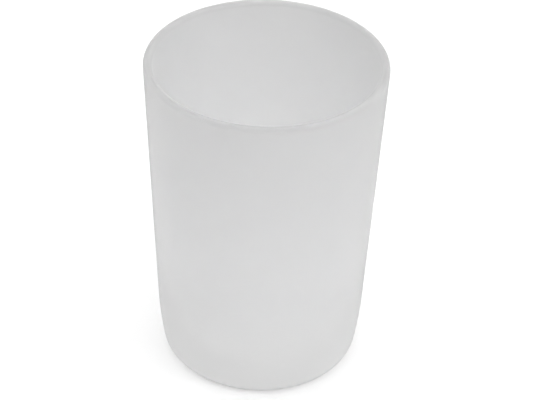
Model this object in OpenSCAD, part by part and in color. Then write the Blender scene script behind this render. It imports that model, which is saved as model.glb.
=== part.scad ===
// Plain frosted tumbler for a bathroom, moulded in a single piece of glass.
// The wall flares slightly, ends in a full round rim, draws in softly above the base
// and stands on a flat ring around a shallow dish.
// Lengths are in millimetres. The origin is the centre of the level that it stands on.

/* [Outside] */
// Diameter across the rim
rim_d = 70; // [66:1:85]
// Height from the standing level to the top of the rim
height = 100; // [80:1:125]
// Diameter of the straight wall carried down to the standing level
wall_foot_d = 61; // [50:0.5:66]
// Height at which the straight wall turns into the long lower curve
turn_h = 18; // [12:0.5:30]
// Radius of the long lower curve
lower_r = 125; // [90:1:250]
// Radius of the corner between the lower curve and the standing level
corner_r = 4; // [2:0.25:8]

/* [Wall and floor] */
// Thickness of the wall at the rim, which is rounded over in full
rim_t = 2.5; // [1.8:0.1:4]
// Level thickness of the wall carried down to the standing level
wall_foot_t = 3.5; // [2:0.1:5]
// Thickness of the glass in the middle of the floor
floor_t = 6; // [4:0.5:12]
// Radius of the inside curve between the wall and the floor
floor_r = 10; // [4:0.5:16]

/* [Underside] */
// Width of the flat ring that the tumbler stands on
ring_w = 4; // [2:0.5:8]
// Depth of the dish inside the ring
dish_h = 1.2; // [0.5:0.1:2.5]

/* [Hidden] */

// Facets of a full turn
$fn = 180;
// Farthest that the straight steps of a round stretch stray from the true arc
arc_slack = 0.005;

// Full round at the rim
rim_r = rim_t / 2;
rim_c = [rim_d / 2 - rim_r, height - rim_r];

// Straight wall: where its outside and its inside would meet the standing level, and how
// far each leans out from upright
outer_foot = [wall_foot_d / 2, 0];
inner_foot = outer_foot - [wall_foot_t, 0];
outer_lean = lean_to_rim(outer_foot, 1);
inner_lean = lean_to_rim(inner_foot, -1);

// Long lower curve, which touches the straight wall at its top
turn_p = outer_foot + turn_h * [tan(outer_lean), 1];
lower_c = turn_p - lower_r * [cos(outer_lean), -sin(outer_lean)];

// Corner, which touches the long curve at one end and the standing level at the other
corner_reach = sqrt(pow(lower_r - corner_r, 2) - pow(lower_c.y - corner_r, 2));
corner_c = [lower_c.x + corner_reach, corner_r];
corner_a = atan2(corner_c.y - lower_c.y, corner_c.x - lower_c.x);

// Dish in the underside, inside the ring
dish_edge = corner_c.x - ring_w;
dish_r = (pow(dish_edge, 2) + pow(dish_h, 2)) / (2 * dish_h);
dish_c = [0, dish_h - dish_r];
dish_a = atan2(-dish_c.y, dish_edge);

// Floor, and the curve between it and the inside of the wall
floor_z = dish_h + floor_t;
floor_curve_z = floor_z + floor_r;
floor_curve_x = inner_foot.x + floor_curve_z * tan(inner_lean) - floor_r / cos(inner_lean);
floor_c = [floor_curve_x, floor_curve_z];

// Lean from upright, in degrees, of the line from a foot point that just touches the rim's
// round: side is 1 for the outside of the wall and -1 for its inside
function lean_to_rim(foot, side) =
    let (run = rim_c - foot)
    atan2(run.x, run.y) + side * asin(rim_r / norm(run));

// Points on a circle about c from one direction to another, in degrees. first is 1 where the
// stretch before has already given the point that this one starts from.
function arc(c, r, from, to, first = 0) =
    let (widest = 2 * acos(1 - arc_slack / r), steps = ceil(abs(to - from) / widest))
    [
        for (i = [first : steps])
            let (a = from + (to - from) * i / steps)
            c + r * [cos(a), sin(a)]
    ];

// Half section of the glass: underside, corner, outside of the wall, rim, inside and floor
function half_section() = concat(
    arc(dish_c, dish_r, 90, dish_a),
    arc(corner_c, corner_r, -90, corner_a),
    arc(lower_c, lower_r, corner_a, -outer_lean, 1),
    arc(rim_c, rim_r, -outer_lean, 90),
    arc(rim_c, rim_r, 90, 180 - inner_lean, 1),
    arc(floor_c, floor_r, -inner_lean, -90),
    [[0, floor_z]]
);

module tumbler() {
    color("gainsboro")
        rotate_extrude()
            polygon(half_section());
}

tumbler();
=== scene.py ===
import math

import bmesh
import bpy
from mathutils import Matrix, Vector


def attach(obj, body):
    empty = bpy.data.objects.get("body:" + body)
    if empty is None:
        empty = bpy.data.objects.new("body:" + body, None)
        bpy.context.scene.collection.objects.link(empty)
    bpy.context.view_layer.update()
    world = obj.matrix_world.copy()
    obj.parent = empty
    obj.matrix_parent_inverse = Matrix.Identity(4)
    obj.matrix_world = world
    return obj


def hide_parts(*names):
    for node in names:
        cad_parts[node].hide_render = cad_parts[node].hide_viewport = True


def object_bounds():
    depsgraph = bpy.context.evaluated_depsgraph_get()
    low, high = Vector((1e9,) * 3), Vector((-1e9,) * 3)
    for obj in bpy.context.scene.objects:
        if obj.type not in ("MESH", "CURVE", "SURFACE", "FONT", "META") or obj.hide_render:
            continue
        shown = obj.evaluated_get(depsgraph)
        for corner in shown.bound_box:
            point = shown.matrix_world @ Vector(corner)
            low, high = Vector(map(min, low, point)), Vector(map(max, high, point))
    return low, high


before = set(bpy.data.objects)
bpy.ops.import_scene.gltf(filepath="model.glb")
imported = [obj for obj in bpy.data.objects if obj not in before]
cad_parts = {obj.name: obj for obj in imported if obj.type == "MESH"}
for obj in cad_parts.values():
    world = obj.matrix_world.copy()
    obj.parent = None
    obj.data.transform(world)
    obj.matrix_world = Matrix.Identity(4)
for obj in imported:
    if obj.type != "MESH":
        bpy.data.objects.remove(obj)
CAD_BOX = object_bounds()
NODE = "tumbler"
SLOT = "frosted_glass"
MM = 0.001
HEIGHT = CAD_BOX[1].z
MIDDLE = (0, 0, HEIGHT / 2)

# Turned body: steps round the axis, how near two vertices of the frame lie on one ring, and
# the longest step along the half section
TURN_STEPS = 256
RING_SLACK = 0.02 * MM
LONGEST_STEP = 1.5 * MM

# Camera: the picture's width and the focal length in pixels, the sensor's width in millimetres,
# and where the camera stands and how it turns there
PICTURE_WIDTH = 533
SENSOR_WIDTH = 36
FOCAL_PIXELS = 1878
CAMERA_DISTANCE = 0.56
CAMERA_RISE = math.radians(36.31)
CAMERA_YAW = math.radians(-0.111)
CAMERA_PITCH = math.radians(0.100)
CAMERA_ROLL = math.radians(-1.625)

# Glass: how much passes through at the foot, where it is thick, and in the wall above, and the
# heights between which that changes
FOOT_CLEAR = 0.35
WALL_CLEAR = 0.6
FOOT_START = 4 * MM
FOOT_END = 32 * MM
GLASS_IOR = 1.5
# Edge on, the inside and the rim scatter light and pass little: the share of the above that is
# left, and where the loss starts, from 0 face on to 1 edge on
EDGE_CLEAR = 0.05
EDGE_START = 0.4
# Inside and outside are told by how far a side faces away from the axis, from -1 to 1
INSIDE_FACING = -0.1
OUTSIDE_FACING = 0.5
# Its grey outside, at the standing level and at the top: painted shade, lighter at the foot and
# darker towards the top
FOOT_PAINTED_SHADE_GREY = 0.975
TOP_PAINTED_SHADE_GREY = 0.8
# Its grey inside, low down and at the top, and the height from which it changes: painted shade that
# darkens the inside towards the rim
INNER_LOW_PAINTED_SHADE_GREY = 0.94
INNER_TOP_PAINTED_SHADE_GREY = 0.745
INNER_SHADE_START = 45 * MM
# The rim is rounded by fire and smoother than the etched wall; its grey factor is painted shade
# that darkens the lip, as glass seen end on looks darker
RIM_PAINTED_SHADE = 0.9
RIM_START = HEIGHT - 1.6 * MM
RIM_END = HEIGHT - 0.5 * MM
RIM_ROUGH = 0.85
WALL_ROUGH = 0.9
# Etching: a fine grain, and soft clouds where the acid bit a little deeper
GRAIN_SIZE = 0.3 * MM
GRAIN_DETAIL = 2
GRAIN_DEPTH = 0.02 * MM
GRAIN_SPREAD = 0.2
CLOUD_SIZE = 9 * MM
CLOUD_DETAIL = 3
CLOUD_SPREAD = 0.03
# The ring that the glass stands on is rubbed smoother
WORN_END = 0.4 * MM
WORN_ROUGH = 0.5

# Light: the sky's strength at the horizon and overhead, the floor's colour, its glow to the
# camera and its size, and the place, size and power of the lamp
SKY_LOW = 0.83
SKY_HIGH = 1.265
FLOOR_PALE = 0.8
FLOOR_GLOW = 0.2
FLOOR_SIZE = 8
KEY_PLACE = (0.76, -0.41, 0.61)
KEY_SIZE = 0.12
KEY_POWER = 0.9


def make_camera():
    """The camera at the photograph's angle: it looks at the body's middle, then turns a little."""
    away = Vector((0, -math.cos(CAMERA_RISE), math.sin(CAMERA_RISE)))
    ahead, right = -away, Vector((1, 0, 0))
    up = right.cross(ahead)
    turn = Matrix.Rotation(CAMERA_YAW, 3, up)
    ahead, right = turn @ ahead, turn @ right
    turn = Matrix.Rotation(CAMERA_PITCH, 3, right)
    ahead, up = turn @ ahead, turn @ up
    turn = Matrix.Rotation(CAMERA_ROLL, 3, ahead)
    right, up = turn @ right, turn @ up
    data = bpy.data.cameras.new("camera")
    data.sensor_width = SENSOR_WIDTH
    data.lens = FOCAL_PIXELS * SENSOR_WIDTH / PICTURE_WIDTH
    camera = bpy.data.objects.new("camera", data)
    axes = Matrix((right, up, -ahead)).transposed()
    place = Matrix.Translation(Vector(MIDDLE) + away * CAMERA_DISTANCE)
    camera.matrix_world = place @ axes.to_4x4()
    bpy.context.scene.collection.objects.link(camera)
    bpy.context.scene.camera = camera


def half_section(mesh):
    """Reads a turned solid's half section from its mesh, as (radius, height) from the middle of
    the underside, round the outside and the rim, to the middle of the floor."""
    rings, ring_of = [], []
    for vertex in mesh.vertices:
        spot = (math.hypot(vertex.co.x, vertex.co.y), vertex.co.z)
        near = (i for i, ring in enumerate(rings) if math.dist(spot, ring) < RING_SLACK)
        found = next(near, len(rings))
        if found == len(rings):
            rings.append(spot)
        ring_of.append(found)
    beside = [set() for _ in rings]
    for edge in mesh.edges:
        a, b = (ring_of[v] for v in edge.vertices)
        if a != b:
            beside[a].add(b)
            beside[b].add(a)
    here = min(range(len(rings)), key=lambda i: rings[i][0])
    path = [here]
    while True:
        onward = [i for i in beside[here] if i not in path]
        if not onward:
            break
        here = onward[0]
        path.append(here)
    section = [rings[i] for i in path]
    return [(0.0, section[0][1]), *section[1:], (0.0, section[-1][1])]


def stepped(section):
    """The half section with its long straight stretches cut into short steps."""
    points = [section[0]]
    for start, end in zip(section, section[1:]):
        count = math.ceil(math.dist(start, end) / LONGEST_STEP)
        for i in range(1, count + 1):
            share = i / count
            points.append(tuple(a + (b - a) * share for a, b in zip(start, end)))
    return points


def turned(name, section):
    """A closed body of revolution about Z: a ring of vertices for each point off the axis."""
    work = bmesh.new()
    angles = [2 * math.pi * i / TURN_STEPS for i in range(TURN_STEPS)]
    rings = []
    for radius, height in section[1:-1]:
        rings.append([
            work.verts.new((radius * math.cos(a), radius * math.sin(a), height))
            for a in angles
        ])
    for lower, upper in zip(rings, rings[1:]):
        for i in range(TURN_STEPS):
            j = (i + 1) % TURN_STEPS
            work.faces.new((lower[i], lower[j], upper[j], upper[i]))
    for ring, height, order in ((rings[0], section[0][1], -1), (rings[-1], section[-1][1], 1)):
        middle = work.verts.new((0, 0, height))
        for i in range(TURN_STEPS):
            j = (i + 1) % TURN_STEPS
            work.faces.new((middle, ring[i], ring[j])[::order])
    mesh = bpy.data.meshes.new(name)
    work.to_mesh(mesh)
    work.free()
    mesh.shade_smooth()
    piece = bpy.data.objects.new(name, mesh)
    bpy.context.scene.collection.objects.link(piece)
    return piece


def add(tree, kind, inputs, **settings):
    """Adds a node. Each input takes a number, a vector or another node's output."""
    node = tree.nodes.new(kind)
    for name, value in settings.items():
        setattr(node, name, value)
    for name, value in inputs.items():
        if isinstance(value, bpy.types.NodeSocket):
            tree.links.new(value, node.inputs[name])
        else:
            node.inputs[name].default_value = value
    return node


def combined(tree, operation, a, b):
    """A product, difference or maximum of two values."""
    return add(tree, "ShaderNodeMath", {0: a, 1: b}, operation=operation).outputs[0]


def change(tree, value, start, end, low, high, course="SMOOTHSTEP"):
    """A value that goes from low to high while the one given goes from start to end."""
    inputs = {"Value": value, "From Min": start, "From Max": end, "To Min": low, "To Max": high}
    return add(tree, "ShaderNodeMapRange", inputs, interpolation_type=course).outputs["Result"]


def noise(tree, place, size, detail):
    """Soft noise from 0 to 1 whose spots are about the size given."""
    inputs = {"Vector": place, "Scale": 1 / size, "Detail": detail}
    return add(tree, "ShaderNodeTexNoise", inputs).outputs[0]


def around_one(tree, value, spread):
    """Turns a value from 0 to 1 into a factor that strays from 1 by half the spread."""
    return change(tree, value, 0, 1, 1 - spread / 2, 1 + spread / 2, "LINEAR")


def facing_in(tree, place):
    """About 1 where the side that a ray meets faces the axis or is level, 0 where it faces away."""
    normal = add(tree, "ShaderNodeTexCoord", {}).outputs["Normal"]
    no_height = (1, 1, 0)
    level = add(tree, "ShaderNodeVectorMath", {0: place, 1: no_height}, operation="MULTIPLY")
    away = add(tree, "ShaderNodeVectorMath", {0: level.outputs[0]}, operation="NORMALIZE")
    inputs = {0: away.outputs[0], 1: normal}
    lean = add(tree, "ShaderNodeVectorMath", inputs, operation="DOT_PRODUCT").outputs["Value"]
    return change(tree, lean, INSIDE_FACING, OUTSIDE_FACING, 1, 0)


def frosted_glass():
    """White glass etched all over: less passes through the thick foot and edge on, and painted
    shade makes the top greyer, on the inside most, and the rim greyer still."""
    material = bpy.data.materials.new(SLOT)
    material.use_nodes = True
    tree = material.node_tree
    shader = tree.nodes["Principled BSDF"]
    shader.inputs["IOR"].default_value = GLASS_IOR

    place = add(tree, "ShaderNodeTexCoord", {}).outputs["Object"]
    height = add(tree, "ShaderNodeSeparateXYZ", {0: place}).outputs["Z"]
    grain = noise(tree, place, GRAIN_SIZE, GRAIN_DETAIL)
    clouds = noise(tree, place, CLOUD_SIZE, CLOUD_DETAIL)

    inside = facing_in(tree, place)
    edge_on = add(tree, "ShaderNodeLayerWeight", {}).outputs["Facing"]
    scattered = change(tree, edge_on, EDGE_START, 1, 0, 1 - EDGE_CLEAR)
    scattered = combined(tree, "MULTIPLY", scattered, inside)
    clear = change(tree, height, FOOT_START, FOOT_END, FOOT_CLEAR, WALL_CLEAR)
    clear = combined(tree, "MULTIPLY", clear, combined(tree, "SUBTRACT", 1, scattered))
    tree.links.new(clear, shader.inputs["Transmission Weight"])

    # Painted shade outside: the grey falls evenly from the foot to the top, lighter low down and
    # darker above
    outer_painted_shade = change(tree, height, 0, HEIGHT, FOOT_PAINTED_SHADE_GREY, TOP_PAINTED_SHADE_GREY, "LINEAR")
    # Painted shade inside: darker from mid height up to the rim
    inner_painted_shade = change(tree, height, INNER_SHADE_START, HEIGHT, INNER_LOW_PAINTED_SHADE_GREY, INNER_TOP_PAINTED_SHADE_GREY, "LINEAR")
    grey_with_painted_shade = change(tree, inside, 0, 1, outer_painted_shade, inner_painted_shade, "LINEAR")
    # Painted shade at the rim: a darker band over the top of the lip
    grey_with_painted_shade = combined(tree, "MULTIPLY", grey_with_painted_shade, change(tree, height, RIM_START, RIM_END, 1, RIM_PAINTED_SHADE))
    grey_with_painted_shade = combined(tree, "MULTIPLY", grey_with_painted_shade, around_one(tree, clouds, CLOUD_SPREAD))
    tree.links.new(grey_with_painted_shade, shader.inputs["Base Color"])

    rough = change(tree, height, RIM_START, RIM_END, WALL_ROUGH, RIM_ROUGH)
    worn = change(tree, height, 0, WORN_END, WORN_ROUGH / WALL_ROUGH, 1)
    rough = combined(tree, "MULTIPLY", rough, worn)
    rough = combined(tree, "MULTIPLY", rough, around_one(tree, grain, GRAIN_SPREAD))
    tree.links.new(rough, shader.inputs["Roughness"])

    bump = add(tree, "ShaderNodeBump", {"Height": grain, "Distance": GRAIN_DEPTH})
    tree.links.new(bump.outputs["Normal"], shader.inputs["Normal"])
    return material


def make_floor():
    """A pale floor, white to the camera and in glass, that takes the body's shadow."""
    bpy.ops.mesh.primitive_plane_add(size=FLOOR_SIZE)
    floor = bpy.context.object
    floor.name = "floor"
    material = bpy.data.materials.new("floor")
    material.use_nodes = True
    tree = material.node_tree
    shader = tree.nodes["Principled BSDF"]
    shader.inputs["Base Color"].default_value = (FLOOR_PALE, FLOOR_PALE, FLOOR_PALE, 1)
    shader.inputs["Roughness"].default_value = 1.0
    shader.inputs["Specular IOR Level"].default_value = 0.0
    shader.inputs["Emission Color"].default_value = (1, 1, 1, 1)
    rays = add(tree, "ShaderNodeLightPath", {}).outputs
    seen = combined(tree, "MAXIMUM", rays["Is Camera Ray"], rays["Is Glossy Ray"])
    seen = combined(tree, "MAXIMUM", seen, rays["Is Transmission Ray"])
    glow = combined(tree, "MULTIPLY", seen, FLOOR_GLOW)
    tree.links.new(glow, shader.inputs["Emission Strength"])
    floor.data.materials.append(material)


def area_lamp(name, place, target, size, power):
    """A square softbox that points at target."""
    data = bpy.data.lights.new(name, "AREA")
    data.shape = "SQUARE"
    data.size = size
    data.energy = power
    lamp = bpy.data.objects.new(name, data)
    aim = Vector(target) - Vector(place)
    turn = aim.to_track_quat("-Z", "Y").to_matrix().to_4x4()
    lamp.matrix_world = Matrix.Translation(place) @ turn
    bpy.context.scene.collection.objects.link(lamp)


def make_light():
    """A soft sky, brighter overhead than at the horizon, and a small lamp in front on the right."""
    world = bpy.data.worlds.new("world")
    bpy.context.scene.world = world
    world.use_nodes = True
    tree = world.node_tree
    ahead = add(tree, "ShaderNodeTexCoord", {}).outputs["Generated"]
    rise = add(tree, "ShaderNodeSeparateXYZ", {0: ahead}).outputs["Z"]
    background = tree.nodes["Background"]
    background.inputs["Color"].default_value = (1, 1, 1, 1)
    tree.links.new(change(tree, rise, 0, 1, SKY_LOW, SKY_HIGH), background.inputs["Strength"])
    area_lamp("key", KEY_PLACE, MIDDLE, KEY_SIZE, KEY_POWER)


make_camera()
make_floor()
make_light()
glass = turned("glass_body", stepped(half_section(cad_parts[NODE].data)))
glass.data.materials.append(frosted_glass())
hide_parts(NODE)
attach(glass, "root")

bpy.context.scene.view_settings.view_transform = "Standard"
